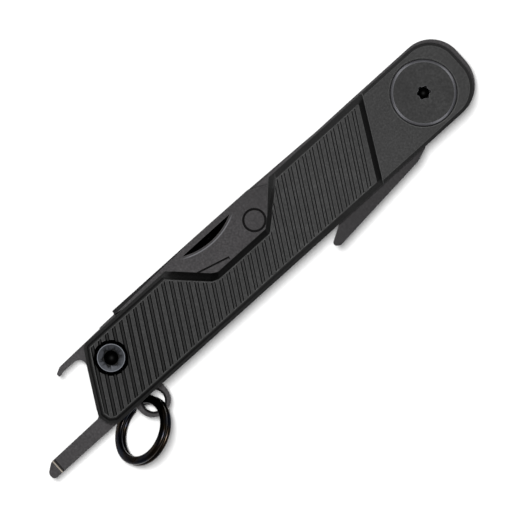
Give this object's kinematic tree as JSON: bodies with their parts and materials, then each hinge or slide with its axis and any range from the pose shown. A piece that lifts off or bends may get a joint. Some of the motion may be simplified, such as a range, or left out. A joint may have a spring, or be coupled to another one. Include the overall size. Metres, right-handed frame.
{
  "type": "keychain bottle opener",
  "caption": "Slim folding pocket tool for a key ring: fixed bottle-opener hook and pry bar, folding scissors with a squeeze lever, folding knife, ribbed front scale and split ring.",
  "frame": {"origin": "middle of the handle's back face", "axes": "+X along the handle to the pivot end, +Y towards the side the tools open to, +Z out of the front scale"},
  "size_m": [0.0949, 0.0224, 0.0098],
  "materials": {
    "scale": "matte black anodised, fine grain",
    "coated_steel": "satin black coated",
    "fastener": "dark polished",
    "bare_steel": "ground",
    "bronze": "rolled sheet",
    "ring_black": "gloss black plated steel"
  },
  "bodies": {
    "handle": {"front_scale": "scale", "frame_plate": "coated_steel", "back_frame": "coated_steel", "back_spacer": "coated_steel", "pivot_barrel": "coated_steel", "pivot_screw": "fastener", "tail_screw": "fastener", "tail_barrel": "fastener", "stop_pin": "bare_steel", "knife_back_washer": "bronze", "knife_front_washer": "bronze", "scissor_back_washer": "bronze", "scissor_front_washer": "bronze", "knife_detent_ball": "bare_steel", "scissor_detent_ball": "bare_steel"},
    "lock_bar": {"lock_bar": "coated_steel"},
    "knife": {"knife_blade": "coated_steel"},
    "scissors": {"scissor_fixed_half": "coated_steel", "scissor_hub_spacer": "coated_steel", "scissor_rivet": "coated_steel", "scissor_spring": "bare_steel", "scissor_spring_rivet": "bare_steel"},
    "scissor_lever": {"scissor_moving_half": "coated_steel"},
    "split_ring": {"split_ring": "ring_black"}
  },
  "joints": [
    {"name": "knife_fold", "type": "hinge", "parent": "handle", "child": "knife", "pos_m": [0.0326, 0, 0.0029], "axis": [0, 0, 1], "range_deg": [-180, 0]},
    {"name": "lock_bar_flex", "type": "hinge", "parent": "handle", "child": "lock_bar", "pos_m": [-0.0094, -0.0052, 0.0008], "axis": [0, -1, 0], "range_deg": [0, 2.3]},
    {"name": "scissors_fold", "type": "hinge", "parent": "handle", "child": "scissors", "pos_m": [0.0326, 0, 0.00695], "axis": [0, 0, 1], "range_deg": [-180, 0]},
    {"name": "scissors_squeeze", "type": "hinge", "parent": "scissors", "child": "scissor_lever", "pos_m": [-0.0014, 0.003, 0.00695], "axis": [0, 0, 1], "range_deg": [-20, 0]},
    {"name": "ring_swing", "type": "hinge", "parent": "handle", "child": "split_ring", "pos_m": [-0.033, -0.0078, 0.005], "axis": [-0.891, -0.454, 0], "range_deg": [0, 45]}
  ]
}
